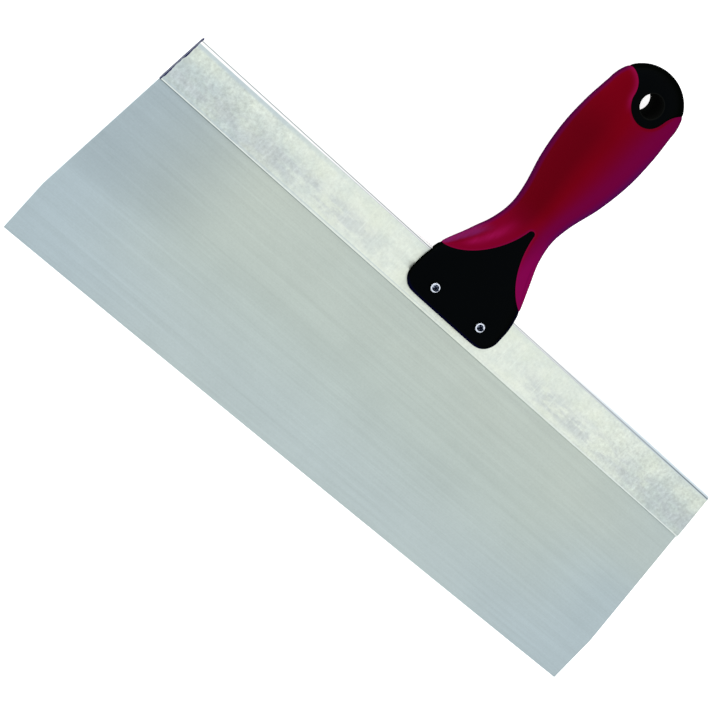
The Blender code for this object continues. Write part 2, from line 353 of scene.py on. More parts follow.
def build_blade():
    """The flat spring steel blade with fine broken edges."""
    top = BLADE_HIGH.y
    outline = [edge_point(i) for i in range(EDGE_STEPS + 1)]
    outline += [(side_half_width(SQUARE_DEPTH), SQUARE_DEPTH), (side_half_width(top), top)]
    outline += [(-side_half_width(top), top), (-side_half_width(SQUARE_DEPTH), SQUARE_DEPTH)]
    blade = prism("blade_steel_sheet", outline, BLADE_HIGH.z)
    drill_rivet_holes(blade)
    soften_edges(blade, BLADE_BEVEL, 2, 40.0)
    shade(blade)
    return blade


def flange_surface():
    """(y, z) points of the front outer surface, from the lip's edge to where the fold begins."""
    places = np.concatenate((
        FLANGE_EDGE + LIP_RADIUS + (LIP_LENGTH - LIP_RADIUS) * np.linspace(0.0, 1.0, 9),
        np.linspace(FLANGE_EDGE + LIP_LENGTH, FOLD_CENTRE - 5.0 * CREASE_WIDTH, 8)[1:],
    ))
    closing = LIP_DROP * (1.0 - smoothstep(FLANGE_EDGE, FLANGE_EDGE + LIP_LENGTH, places))
    return [(float(y), float(z)) for y, z in zip(places, FOLD_RADIUS - closing)]


def fold_surface():
    """(y, z) points round the front half of the fold, with the crease pressed in."""
    travel = np.concatenate((
        np.linspace(-4.0 * CREASE_WIDTH, CREASE_OFFSET + 4.0 * CREASE_WIDTH, 30),
        np.linspace(CREASE_OFFSET + 4.6 * CREASE_WIDTH, QUARTER * FOLD_RADIUS, FOLD_STEPS // 2),
    ))
    turn = np.maximum(travel, 0.0) / FOLD_RADIUS
    reach = FOLD_RADIUS - CREASE_DEPTH * np.exp(-(((travel - CREASE_OFFSET) / CREASE_WIDTH) ** 2))
    y = FOLD_CENTRE + np.minimum(travel, 0.0) + reach * np.sin(turn)
    z = reach * np.cos(turn)
    return [(float(a), float(b)) for a, b in zip(y, z)]


def backing_profile():
    """Closed (y, z) section of the folded sheet."""
    outer = flange_surface()
    inner_radius = FOLD_RADIUS - FOLD_SHEET
    edge_z = outer[0][1] - LIP_RADIUS
    lip = arc((FLANGE_EDGE + LIP_RADIUS, edge_z), LIP_RADIUS, math.pi, QUARTER, 8)[:-1]
    inner = [(y, z - FOLD_SHEET) for y, z in outer]
    foot = (FLANGE_EDGE, inner[0][1])
    front = [foot] + lip + outer + fold_surface()
    rear = [(y, -z) for y, z in reversed(front[:-1])]
    inner_rear = [(y, -z) for y, z in inner]
    bend = arc((FOLD_CENTRE, 0.0), inner_radius, -QUARTER, QUARTER, FOLD_STEPS)
    inner_front = list(reversed(inner))
    return front + rear + inner_rear[1:] + bend + inner_front[:-1]


def build_backing():
    """The folded channel over the blade's top edge, with closed lips and a creased fold."""
    profile = backing_profile()
    left = [(-side_half_width(y), y, z) for y, z in profile]
    right = [(side_half_width(y), y, z) for y, z in profile]
    backing = loft("backing_folded_sheet", [left, right])
    drill_rivet_holes(backing)
    soften_edges(backing, BACKING_BEVEL, 2, 60.0)
    shade(backing)
    return backing


# ---------------------------------------------------------------- handle

def station_value(y, column):
    """Smooth value of a station column at distances from the working edge."""
    places = STATIONS[:, 0]
    values = STATIONS[:, column]
    index = np.arange(len(places))
    before = np.maximum(index - 1, 0)
    after = np.minimum(index + 1, len(places) - 1)
    slopes = (values[after] - values[before]) / (places[after] - places[before])
    y = np.clip(y, places[0], places[-1])
    i = np.clip(np.searchsorted(places, y) - 1, 0, len(places) - 2)
    span = places[i + 1] - places[i]
    t = (y - places[i]) / span
    ease = 3.0 * t**2 - 2.0 * t**3
    leave = slopes[i] * (t**3 - 2.0 * t**2 + t)
    arrive = slopes[i + 1] * (t**3 - t**2)
    return values[i] * (1.0 - ease) + values[i + 1] * ease + span * (leave + arrive)


def past_end(y):
    """Share of the way through the rounded end."""
    return np.clip((y - BODY_END) / (HANDLE_TIP - BODY_END), 0.0, 1.0)


def rounded_in(y, radius):
    """How far a front corner of a radius draws the surface in."""
    left = np.clip(HANDLE_FRONT + radius - y, 0.0, radius)
    return radius - np.sqrt(radius**2 - left**2)


def handle_half_width(y):
    """Half width of the whole handle."""
    width = station_value(y, 1) - rounded_in(y, CORNER_RADIUS)
    return width * np.sqrt(1.0 - past_end(y) ** 2)


def handle_half_thickness(y):
    """Half thickness of the whole handle."""
    thickness = np.minimum(station_value(y, 2), CORE_TOP) - rounded_in(y, FRONT_EDGE_RADIUS)
    return thickness * (1.0 - past_end(y) ** TIP_BLUNTNESS) ** (1.0 / TIP_BLUNTNESS)


def section(y, half_width, half_thickness, squareness, sides):
    """Evenly spaced points round a superellipse section."""
    turn = np.linspace(0.0, QUARTER, SECTION_SAMPLES)
    x = half_width * np.abs(np.cos(turn)) ** (2.0 / squareness)
    z = half_thickness * np.abs(np.sin(turn)) ** (2.0 / squareness)
    x[-1] = 0.0
    length = np.concatenate(([0.0], np.cumsum(np.hypot(np.diff(x), np.diff(z)))))
    even = np.linspace(0.0, length[-1], sides // 4 + 1)[:-1]
    qx = np.interp(even, length, x)
    qz = np.interp(even, length, z)
    fx = np.interp(length[-1] - even, length, x)
    fz = np.interp(length[-1] - even, length, z)
    ring_x = np.concatenate((qx, -fx, -qx, fx))
    ring_z = np.concatenate((qz, fz, -qz, -fz))
    return [(a, y, b) for a, b in zip(ring_x, ring_z)]


def handle_places():
    """Distances from the working edge at which the handle's sections are drawn."""
    bend = np.linspace(0.0, QUARTER, 26)
    front = HANDLE_FRONT + CORNER_RADIUS * (1.0 - np.cos(bend))
    jaw = np.arange(front[-1] + 0.8 * MM, 103.6 * MM, 0.8 * MM)
    neck = np.arange(104.0 * MM, 133.0 * MM, 0.42 * MM)
    belly = np.arange(133.3 * MM, 188.0 * MM, 0.9 * MM)
    ring = np.arange(188.2 * MM, BODY_END, 0.42 * MM)
    tip = BODY_END + (HANDLE_TIP - BODY_END) * np.sin(np.linspace(0.0, QUARTER, 56))
    return np.concatenate((front, jaw, neck, belly, ring, tip[:-1]))


def handle_envelope(name):
    """The outside of the whole handle, before it is split into plastic and rubber."""
    rings = []
    for y in handle_places():
        sizes = handle_half_width(y), handle_half_thickness(y), station_value(y, 3)
        rings.append(section(y, *sizes, SECTION_SIDES))
    rings.append([(0.0, HANDLE_TIP, 0.0)])
    return loft(name, rings)


def tongue_flank(growth):
    """Right side of the tongue on the neck, from its tip down to the handle's side."""
    reach_x = TONGUE_REACH[0] + growth
    reach_y = TONGUE_REACH[1] + growth
    start = (TONGUE_CENTRE[1] - TONGUE_TIP_Y) / reach_y
    down = start + (1.0 - start) * np.sin(np.linspace(0.0, QUARTER, LINE_STEPS))
    across = np.maximum(1.0 - down**TONGUE_POWER, 0.0) ** (1.0 / TONGUE_POWER)
    x = TONGUE_CENTRE[0] - reach_x * across
    y = TONGUE_CENTRE[1] - reach_y * down
    return [(float(a), float(b)) for a, b in zip(x, y)]


def neck_border(growth):
    """Right half of the border on the neck, out past the handle's side."""
    flank = tongue_flank(growth)
    tip = arc((0.0, TONGUE_TIP_Y), flank[0][0], QUARTER, 0.0, 12)
    return tip[:-1] + flank + [(CUTTER_WIDTH, flank[-1][1])]


def end_border(growth):
    """Right half of the border round the hang hole, out past the handle's side."""
    offset = RING_RADIUS + SHOULDER_RADIUS
    shoulder = (offset * math.cos(SHOULDER_ANGLE), HOLE_Y + offset * math.sin(SHOULDER_ANGLE))
    points = arc((0.0, HOLE_Y), RING_RADIUS - growth, -QUARTER, SHOULDER_ANGLE, LINE_STEPS)
    turn = math.pi + SHOULDER_ANGLE
    points += arc(shoulder, SHOULDER_RADIUS + growth, turn, QUARTER, LINE_STEPS)[1:]
    return points + [(CUTTER_WIDTH, points[-1][1])]


def grip_zone(name, growth):
    """The stretch of the handle covered by the soft grip, as an upright cutting body."""
    right = neck_border(growth) + list(reversed(end_border(growth)))
    left = [(-x, y) for x, y in reversed(right[1:-1])]
    return prism(name, right + left, CUTTER_HEIGHT)


def distance_to(points, line):
    """Distance in the XY plane from points to a polyline, for the mirrored right half."""
    flat = np.stack((np.abs(points[:, 0]), points[:, 1]), axis=1)
    best = np.full(len(flat), np.inf)
    for start, end in zip(line, line[1:]):
        a = np.array(start)
        along = np.array(end) - a
        t = np.clip((flat - a) @ along / max(along @ along, 1e-18), 0.0, 1.0)
        best = np.minimum(best, np.linalg.norm(flat - a - t[:, None] * along, axis=1))
    return best


def wing_share(points):
    """How far out each point lies between the tongue (0) and the handle's outline (1)."""
    x = np.abs(points[:, 0])
    y = points[:, 1]
    flank = np.array(tongue_flank(0.0))[::-1]
    inner = np.interp(y, flank[:, 1], flank[:, 0])
    outer = handle_half_width(y)
    return (x - inner) / np.maximum(outer - inner, 0.5 * MM)


def bell(value, centre, spread):
    """1 at the centre, falling off on both sides."""
    return np.exp(-(((value - centre) / spread) ** 2))


def hollow_share(points):
    """How deep in the hollows of the grip's wings each point lies, from 0 to 1."""
    y = points[:, 1]
    share = wing_share(points)
    rise = smoothstep(SCOOP_START, SCOOP_DEEPEST, y)
    fall = 1.0 - smoothstep(SCOOP_FADE, SCOOP_END, y)
    return bell(share, SCOOP_CENTRE, SCOOP_SPREAD) * rise * fall * (share > 0.0)


def lean_sides(obj):
    """Draw the handle's sides in behind and out in front, most of all beside the jaw."""
    points = coordinates(obj.data)
    x, y, z = points.T
    tilt = np.clip(z / LEAN_HEIGHT, -1.0, 1.0)
    jaw = smoothstep(FOLD_CENTRE, KNIFE_DEPTH + 1.0 * MM, y) * (1.0 - smoothstep(0.108, 0.121, y))
    amount = LEAN * smoothstep(KNIFE_DEPTH, 0.118, y) * tilt + JAW_LEAN * jaw * np.minimum(tilt, 0.0)
    points[:, 0] = x + amount * x / np.maximum(handle_half_width(y), 1.0 * MM)
    obj.data.vertices.foreach_set("co", points.ravel())
    obj.data.update()


def detail_handle(obj):
    """Sink borders, wing scoops, the hang hole's mouths and the rivet seats into the surface."""
    points = coordinates(obj.data)
    border = np.minimum(distance_to(points, neck_border(0.0)), distance_to(points, end_border(0.0)))
    depth = BORDER_DIP * bell(border, 0.0, BORDER_WIDTH)
    depth += SCOOP_DEPTH * hollow_share(points)
    hole = np.hypot(points[:, 0], points[:, 1] - HOLE_Y)
    depth += HOLE_LIP_DEPTH * np.clip(1.0 - (hole - HOLE_RADIUS) / HOLE_LIP, 0.0, 1.0) ** 2
    seat = np.hypot(np.abs(points[:, 0]) - RIVET_X, points[:, 1] - RIVET_Y)
    depth += SEAT_DEPTH * (1.0 - smoothstep(0.85 * SEAT_RADIUS, SEAT_RADIUS, seat))
    sink(obj, depth)
    lean_sides(obj)


def spine_body(name, growth):
    """The plastic spine inside the soft grip."""
    rings = []
    for y in np.linspace(SPINE_START - growth, SPINE_END + growth, 60):
        half_width = handle_half_width(y) - GRIP_WALL + growth
        half_thickness = handle_half_thickness(y) - GRIP_WALL + growth
        rings.append(section(y, half_width, half_thickness, 2.2, SPINE_SIDES))
    return loft(name, rings)


def slot_cutter():
    """The slot in the jaw that takes the backing."""
    radius = FOLD_RADIUS + SLOT_CLEARANCE
    start = HANDLE_FRONT - CUTTER_HEIGHT
    profile = [(start, radius)]
    profile += arc((FOLD_CENTRE, 0.0), radius, QUARTER, -QUARTER, FOLD_STEPS)
    profile += [(start, -radius)]
    left = [(-CUTTER_WIDTH, y, z) for y, z in profile]
    right = [(CUTTER_WIDTH, y, z) for y, z in profile]
    return loft("slot_cutter", [left, right])


def build_core():
    """Black plastic: jaw, tongue, spine inside the grip, and end with the hang hole."""
    core = handle_envelope("handle_black_plastic")
    detail_handle(core)
    carve(core, grip_zone("zone", BORDER_GAP / 2.0), "DIFFERENCE")
    carve(core, spine_body("spine", 0.0), "UNION")
    carve(core, slot_cutter(), "DIFFERENCE")
    carve(core, drill("hang_hole", 0.0, HOLE_Y, HOLE_RADIUS, 96), "DIFFERENCE")
    drill_rivet_holes(core)
    clean(core)
    shade(core)
    return core


def mark_grip(grip):
    """Store where the wings, their hollows and the borders lie, for the rubber's painted highlights, sheen
    and shade.
    """
    points = coordinates(grip.data)
    y = points[:, 1]
    share = wing_share(points)
    wing = 1.0 - smoothstep(0.118, 0.142, y)
    near_tongue = 1.0 - smoothstep(0.120, 0.133, y)
    painted_crest_highlight = bell(share, CREST_CENTRE, CREST_SPREAD) * smoothstep(0.109, 0.115, y)
    marks = {
        "wing": wing,
        "hollow": hollow_share(points),
        "painted_crest_highlight": painted_crest_highlight * near_tongue,
        "side": smoothstep(0.68, 0.86, share) * (1.0 - smoothstep(0.116, 0.125, y)),
        "shoulder": bell(distance_to(points, end_border(0.0)), 0.0, SHOULDER_HIGHLIGHT_WIDTH),
        "border": bell(distance_to(points, neck_border(0.0)), 0.0, BORDER_HIGHLIGHT_WIDTH),
    }
    for name, values in marks.items():
        layer = grip.data.attributes.new(name, "FLOAT", "POINT")
        layer.data.foreach_set("value", values)


def build_grip():
    """Red soft rubber sleeve."""
    grip = handle_envelope("grip_red_rubber")
    detail_handle(grip)
    carve(grip, grip_zone("zone", -BORDER_GAP / 2.0), "INTERSECT")
    carve(grip, spine_body("cavity", 0.1 * MM), "DIFFERENCE")
    clean(grip)
    mark_grip(grip)
    shade(grip)
    return grip


# ---------------------------------------------------------------- rivets

def rivet_profile():
    """(radius, height) from the rear head's crown round to the bottom of the front bore."""
    front_seat = RIVET_TOP - ROLL_HEIGHT
    rear_seat = RIVET_BOTTOM + HEAD_HEIGHT
    head = arc((0.0, 0.0), 1.0, -QUARTER, 0.0, 14)
    profile = [(RIVET_HEAD * x, rear_seat + HEAD_HEIGHT * y) for x, y in head]
    profile += [(RIVET_SHANK, rear_seat), (RIVET_SHANK, front_seat)]
    lip = (RIVET_ROLL - RIVET_BORE) / 2.0
    roll = arc((0.0, 0.0), 1.0, 0.0, math.pi, 16)
    profile += [(RIVET_BORE + lip + lip * x, front_seat + ROLL_HEIGHT * y) for x, y in roll]
    floor = RIVET_TOP - BORE_DEPTH
    profile += [(RIVET_BORE, floor + 0.4 * MM), (0.8 * RIVET_BORE, floor)]
    return profile + [(0.0, floor - 0.5 * MM)]


def build_rivet(name, x):
    """A semi-tubular rivet whose rolled rim has split a little in places."""
    front_seat = RIVET_TOP - ROLL_HEIGHT
    rings = []
    for radius, height in rivet_profile():
        if radius < 1e-9:
            rings.append([(x, RIVET_Y, height)])
            continue
        turns = np.linspace(0.0, 2.0 * math.pi, RIVET_SIDES, endpoint=False)
        notch = np.abs(np.cos(turns * ROLL_SPLITS / 2.0)) ** 24 * (height > front_seat)
        reach = radius - ROLL_SPLIT_DEPTH * notch * (radius > (RIVET_BORE + RIVET_ROLL) / 2.0)
        drop = ROLL_SPLIT_DEPTH * notch
        rings.append([
            (x + r * math.cos(a), RIVET_Y + r * math.sin(a), height - d)
            for a, r, d in zip(turns, reach, drop)
        ])
    rivet = loft(name, rings)
    shade(rivet, 50.0)
    return rivet


# ---------------------------------------------------------------- material helpers

class Graph:
    """A material's node tree, with short ways to add the nodes used here."""

    def __init__(self, name):
        self.material = bpy.data.materials.new(name)
        self.material.use_nodes = True
        self.tree = self.material.node_tree
        self.shader = self.tree.nodes["Principled BSDF"]
        self.place = self.add("ShaderNodeTexCoord").outputs["Object"]

    def add(self, kind, **settings):
        """A new node with its properties set."""
        node = self.tree.nodes.new(kind)
        for name, value in settings.items():
            setattr(node, name, value)
        return node

    def feed(self, socket, value):
        """Link an output to a socket, or set the socket's plain value."""
        if isinstance(value, bpy.types.NodeSocket):
            self.tree.links.new(value, socket)
        else:
            socket.default_value = value

    def finish(self, **inputs):
        """Connect the shader's inputs, whose spaces are written as underscores."""
        for name, value in inputs.items():
            self.feed(self.shader.inputs[name.replace("_", " ")], value)
        return self.material

    def math(self, operation, a, b=0.0, clamp=False):
        """One arithmetic step."""
        node = self.add("ShaderNodeMath", operation=operation, use_clamp=clamp)
        self.feed(node.inputs[0], a)
        self.feed(node.inputs[1], b)
        return node.outputs[0]

    def distance(self, a, b):
        """Length of the hypotenuse over two sides."""
        total = self.math("ADD", self.math("MULTIPLY", a, a), self.math("MULTIPLY", b, b))
        return self.math("SQRT", total)

    def stretched(self, x, y, z):
        """The place on the object in metres, multiplied along each axis."""
        node = self.add("ShaderNodeVectorMath", operation="MULTIPLY")
        self.feed(node.inputs[0], self.place)
        node.inputs[1].default_value = (x, y, z)
        return node.outputs[0]

    def noise(self, scale, detail=3.0, roughness=0.5, vector=None, offset=0.0):
        """Soft noise from 0 to 1; the scale is in cells per metre unless a vector is given."""
        node = self.add("ShaderNodeTexNoise", noise_dimensions="4D")
        self.feed(node.inputs["Vector"], self.place if vector is None else vector)
        node.inputs["W"].default_value = offset
        node.inputs["Scale"].default_value = scale
        node.inputs["Detail"].default_value = detail
        node.inputs["Roughness"].default_value = roughness
        return node.outputs["Fac"]

    def span(self, value, low, high, to_low=0.0, to_high=1.0, smooth=True):
        """Map low..high onto another range, with soft ends."""
        node = self.add("ShaderNodeMapRange", clamp=True)
        node.interpolation_type = "SMOOTHSTEP" if smooth else "LINEAR"
        self.feed(node.inputs["Value"], value)
        node.inputs["From Min"].default_value = low
        node.inputs["From Max"].default_value = high
        node.inputs["To Min"].default_value = to_low
        node.inputs["To Max"].default_value = to_high
        return node.outputs["Result"]

    def blend(self, share, first, second, mode="MIX"):
        """Mix two colours, each a tuple or a link."""
        node = self.add("ShaderNodeMix", data_type="RGBA", blend_type=mode)
        self.feed(node.inputs[0], share)
        for socket, colour in ((node.inputs[6], first), (node.inputs[7], second)):
            self.feed(socket, (*colour, 1.0) if isinstance(colour, tuple) else colour)
        return node.outputs[2]

    def scaled(self, colour, factor):
        """A colour multiplied by a number."""
        node = self.add("ShaderNodeVectorMath", operation="SCALE")
        self.feed(node.inputs[0], colour)
        self.feed(node.inputs["Scale"], factor)
        return node.outputs[0]

    def mark(self, name):
        """A value stored on the mesh."""
        return self.add("ShaderNodeAttribute", attribute_name=name).outputs["Fac"]

    def axes(self, vector=None):
        """Separate x, y and z of a vector."""
        node = self.add("ShaderNodeSeparateXYZ")
        self.feed(node.inputs[0], self.place if vector is None else vector)
        return node.outputs[0], node.outputs[1], node.outputs[2]

    def facing(self, blend):
        """0 where the surface faces the eye, rising to 1 at its outline."""
        node = self.add("ShaderNodeLayerWeight")
        node.inputs["Blend"].default_value = blend
        return node.outputs["Facing"]

    def cut_face(self):
        """1 on faces turned left or right, such as a sheet's cut ends."""
        lie = self.add("ShaderNodeNewGeometry")
        sideways = self.math("ABSOLUTE", self.axes(lie.outputs["True Normal"])[0])
        return self.span(sideways, 0.35, 0.60)

    def bump(self, height, distance, strength=1.0, normal=None):
        """Relief from a height."""
        node = self.add("ShaderNodeBump")
        node.inputs["Strength"].default_value = strength
        node.inputs["Distance"].default_value = distance
        self.feed(node.inputs["Height"], height)
        if normal is not None:
            self.feed(node.inputs["Normal"], normal)
        return node.outputs[0]


# ---------------------------------------------------------------- materials

STEEL_GREEN = (0.455, 0.528, 0.500)
STEEL_WARM = (0.490, 0.550, 0.500)
STEEL_REFLECTION_BLUE = (0.405, 0.492, 0.530)
STEEL_EDGE = (0.452, 0.530, 0.538)
ZINC_PALE = (0.760, 0.810, 0.725)
ZINC_GREY = (0.640, 0.705, 0.655)
ZINC_SHADE_BLUE = (0.480, 0.565, 0.600)
ZINC_RUB_AND_SHADE = (0.480, 0.525, 0.545)
ZINC_LEFT = (0.430, 0.510, 0.520)
ZINC_RIGHT = (0.480, 0.545, 0.525)
ZINC_WARM = (0.690, 0.740, 0.600)
LIP_HIGHLIGHT_PALE = (0.720, 0.780, 0.765)
FOLD_HIGHLIGHT_WHITE = (0.980, 0.985, 0.985)
FOLD_HIGHLIGHT_BLUE = (0.560, 0.630, 0.675)
CREASE_SHADE_SLATE = (0.115, 0.155, 0.165)
CUT_END_SHADE_NAVY = (0.010, 0.012, 0.075)
PLASTIC_BLACK = (0.0008, 0.0012, 0.0009)
PLASTIC_SHEEN_NAVY = (0.0012, 0.0012, 0.0140)
HOLE_BLACK = (0.0060, 0.0066, 0.0060)
RUBBER_RED = (0.156, 0.0004, 0.0060)
RUBBER_DARK = (0.102, 0.0005, 0.0044)
RUBBER_SHEEN_PLUM = (0.136, 0.0006, 0.0370)
RUBBER_SHEEN_VIOLET = (0.076, 0.0030, 0.0660)
RUBBER_HIGHLIGHT_CRIMSON = (0.180, 0.0006, 0.0200)
RUBBER_HIGHLIGHT_ROSE = (0.262, 0.0040, 0.0580)
RUBBER_SHEEN_ORCHID = (0.172, 0.0100, 0.0860)
RUBBER_SHEEN_MAGENTA = (0.195, 0.0015, 0.0640)
NICKEL = (0.720, 0.780, 0.880)
NICKEL_SHADE = (0.480, 0.520, 0.620)
BORE_SHADE_NAVY = (0.005, 0.009, 0.028)


def blade_material():
    """Cold-rolled steel: straight grain along the edge, with a slow drift of hue, a painted cool reflection
    towards the ends and painted shade at the left end.
    """
    g = Graph("brushed_blade_steel")
    x, y, _ = g.axes()
    across = g.math("ABSOLUTE", x)
    drift = g.noise(1.0, 3.0, 0.55, g.stretched(9.0, 26.0, 9.0), 3.0)
    near_backing = g.math("MULTIPLY", g.span(y, 0.030, 0.080), g.span(drift, 0.30, 0.70, 0.5, 1.0))
    # Painted reflection: the blade turns bluer towards its ends and its lower corners.
    ends = g.span(across, 0.085, 0.150)
    corner = g.math("MULTIPLY", g.span(y, 0.045, 0.005), g.span(across, 0.060, 0.150))
    painted_cool_reflection = g.math("MAXIMUM", ends, corner)
    upper_right = g.math("MULTIPLY", g.span(x, 0.060, 0.120), g.span(y, 0.035, 0.070))
    painted_cool_reflection = g.math("MULTIPLY", painted_cool_reflection, g.span(upper_right, 0.0, 1.0, 1.0, 0.5))
    painted_cool_reflection = g.math("MULTIPLY", painted_cool_reflection, g.span(x, -0.060, -0.130, 0.8, 1.0))
    colour = g.blend(near_backing, STEEL_GREEN, STEEL_WARM)
    colour = g.blend(g.span(y, 0.050, 0.004, 0.0, 0.9), colour, STEEL_EDGE)
    colour = g.blend(painted_cool_reflection, colour, STEEL_REFLECTION_BLUE)
    # Painted shade: the left end of the blade is darkened.
    painted_shade_left_end = g.math("MULTIPLY", g.span(x, -0.080, -0.125), g.span(y, 0.030, 0.045))
    fine = g.noise(1.0, 4.0, 0.6, g.stretched(14.0, 1500.0, 60.0), 1.0)
    broad = g.noise(1.0, 2.0, 0.5, g.stretched(10.0, 420.0, 30.0), 7.0)
    streaks = g.math("ADD", g.math("MULTIPLY", fine, 0.55), g.math("MULTIPLY", broad, 0.45))
    grain = g.span(streaks, 0.25, 0.75, 0.89, 1.09, smooth=False)
    cloud = g.span(g.noise(34.0, 4.0, 0.6, None, 5.0), 0.3, 0.7, 0.968, 1.027, smooth=False)
    speck = g.span(g.noise(1500.0, 3.0, 0.7, None, 11.0), 0.3, 0.7, 0.960, 1.042, smooth=False)
    tone = g.math("MULTIPLY", g.math("MULTIPLY", grain, cloud), speck)
    tone = g.math("MULTIPLY", tone, g.span(painted_shade_left_end, 0.0, 1.0, 1.0, 0.885))
    rough = g.span(streaks, 0.3, 0.7, 0.34, 0.44, smooth=False)
    relief = g.bump(fine, 0.00002, 0.5)
    # Painted shade: the blade's sideways faces inside the backing get the dark navy of the shaded cut ends.
    covered = g.math("MULTIPLY", g.cut_face(), g.math("GREATER_THAN", y, FLANGE_EDGE))
    colour = g.blend(covered, g.scaled(colour, tone), CUT_END_SHADE_NAVY)
    return g.finish(Base_Color=colour, Metallic=1.0, Roughness=rough, Normal=relief)


def backing_sheet_colour(g, x, y, across, cloud, smear, speckle):
    """The flange's mottled zinc, greyer towards the ends, with rubs and scratches."""
    lower = g.span(y, 0.0965, 0.0880, 0.40, 1.0)
    band = g.math("MULTIPLY", g.span(y, 0.0815, 0.0845), g.span(y, 0.0935, 0.0885))
    rub = g.math("MULTIPLY", band, g.span(smear, 0.40, 0.56))
    rub = g.math("MULTIPLY", rub, g.span(across, 0.030, 0.060, 0.1, 0.9))
    hue = g.noise(75.0, 3.0, 0.55, None, 15.0)
    left = g.math("MULTIPLY", g.span(x, -0.050, -0.112, 0.0, 0.92), lower)
    right = g.math("MULTIPLY", g.span(x, 0.085, 0.125), lower)
    ends = g.math("MULTIPLY", g.span(across, 0.100, 0.138, 0.0, 0.5), lower)
    wear_and_shade_share = g.math("MULTIPLY", g.span(x, -0.088, -0.096), g.span(x, -0.116, -0.106))
    wear_and_shade_share = g.math("MULTIPLY", wear_and_shade_share, g.span(y, 0.0915, 0.0865, 0.0, 0.50))
    patchy = g.span(cloud, 0.32, 0.68, 0.20, 0.80)
    colour = g.blend(patchy, ZINC_GREY, ZINC_PALE)
    colour = g.blend(left, colour, g.blend(g.math("MULTIPLY", patchy, 0.75), ZINC_LEFT, ZINC_GREY))
    colour = g.blend(right, colour, g.blend(patchy, ZINC_RIGHT, ZINC_GREY))
    colour = g.blend(ends, colour, ZINC_LEFT)
    colour = g.blend(wear_and_shade_share, colour, ZINC_RUB_AND_SHADE)
    colour = g.blend(g.span(hue, 0.42, 0.66, 0.0, 0.30), colour, ZINC_WARM)
    colour = g.blend(g.math("MULTIPLY", rub, 0.62), colour, ZINC_RUB_AND_SHADE)
    upright = g.noise(1.0, 4.0, 0.6, g.stretched(700.0, 50.0, 60.0), 13.0)
    chatter = g.math("MULTIPLY", g.math("SUBTRACT", upright, 0.5), g.math("MULTIPLY", rub, 0.5))
    fine = g.noise(320.0, 5.0, 0.7, None, 14.0)
    texture = g.math("ADD", g.math("MULTIPLY", fine, 0.42), g.math("MULTIPLY", speckle, 0.58))
    strength = g.span(across, 0.050, 0.125, 0.56, 1.40)
    tone = g.math("ADD", 1.0, g.math("MULTIPLY", g.math("SUBTRACT", texture, 0.5), strength))
    tone = g.math("MULTIPLY", tone, g.span(upright, 0.58, 0.72, 1.0, 1.06, smooth=False))
    tone = g.math("MULTIPLY", tone, g.math("ADD", 1.0, chatter))
    return g.scaled(colour, tone)


def fold_colour(g, x, y, across, colour, smear):
    """Painted highlight along the fold, painted shade in its fine crease and just outside the highlight,
    and a painted shade band below it on the left.
    """
    inside = g.math("SUBTRACT", KNIFE_DEPTH, y)
    # Painted shade: a soft blue-grey band just below the fold, mostly on the left.
    painted_shade_band = g.math("MULTIPLY", g.span(inside, 0.0044, 0.0030), g.span(x, -0.050, -0.130, 0.12, 0.9))
    painted_shade_band = g.math("MULTIPLY", painted_shade_band, g.span(smear, 0.30, 0.60, 0.55, 1.0))
    colour = g.blend(painted_shade_band, colour, ZINC_SHADE_BLUE)
    # Painted highlight: a near-white band along the fold, turning blue-grey towards the right.
    reach = g.span(x, -0.140, -0.020, 0.0022, 0.0017)
    painted_fold_highlight = g.span(g.math("SUBTRACT", reach, inside), -0.00025, 0.00015)
    bright = g.blend(g.span(x, 0.020, 0.110), FOLD_HIGHLIGHT_WHITE, FOLD_HIGHLIGHT_BLUE)
    colour = g.blend(painted_fold_highlight, colour, bright)
    # Painted shade: a thin dark line just outside the fold's highlight, away from the ends.
    off_reach = g.math("ABSOLUTE", g.math("SUBTRACT", inside, reach))
    second = g.math("MULTIPLY", g.span(off_reach, 0.00026, 0.00008), g.span(across, 0.110, 0.060, 0.0, 0.7))
    colour = g.blend(second, colour, ZINC_RUB_AND_SHADE)
    # Painted shade in the pressed crease, varying in strength along the fold.
    crease = KNIFE_DEPTH - FOLD_CENTRE - CREASE_OFFSET
    off_line = g.math("ABSOLUTE", g.math("SUBTRACT", inside, crease))
    half_width = g.span(x, -0.050, 0.050, 0.00016, 0.00022)
    line = g.span(g.math("SUBTRACT", half_width, off_line), -0.00008, 0.00004)
    wear_and_shade_share = g.math("MAXIMUM", g.span(x, 0.0, 0.040, 0.76, 0.50), g.span(x, 0.085, 0.130, 0.0, 0.80))
    line = g.math("MULTIPLY", line, wear_and_shade_share)
    return g.blend(line, colour, CREASE_SHADE_SLATE)


def lip_colour(g, x, y, colour):
    """Painted highlight on the rounded edge of the flange, with a fine painted shade line above it on the
    left and painted shade at its foot.
    """
    above = g.math("SUBTRACT", y, FLANGE_EDGE)
    # Painted shade: a fine blue line just above the lip, strongest on the left.
    off_line = g.math("ABSOLUTE", g.math("SUBTRACT", above, 0.0012))
    line = g.span(off_line, 0.00035, 0.0001, 0.0, 0.6)
    line = g.math("MULTIPLY", line, g.span(x, 0.020, -0.040, 0.25, 1.0))
    colour = g.blend(line, colour, ZINC_SHADE_BLUE)
    # Painted shade where the flange meets the blade.
    foot = g.math("MULTIPLY", g.span(above, 0.00030, 0.00010), g.span(x, 0.060, -0.020, 0.10, 0.75))
    colour = g.blend(foot, colour, CREASE_SHADE_SLATE)
    # Painted highlight on the lip's rounded edge.
    painted_edge_light = g.math("MULTIPLY", g.span(above, 0.00078, 0.00056), g.span(above, 0.00022, 0.00036))
    painted_edge_light = g.math("MULTIPLY", painted_edge_light, g.span(g.math("ABSOLUTE", x), 0.010, 0.080, 0.35, 1.0))
    return g.blend(painted_edge_light, colour, LIP_HIGHLIGHT_PALE)


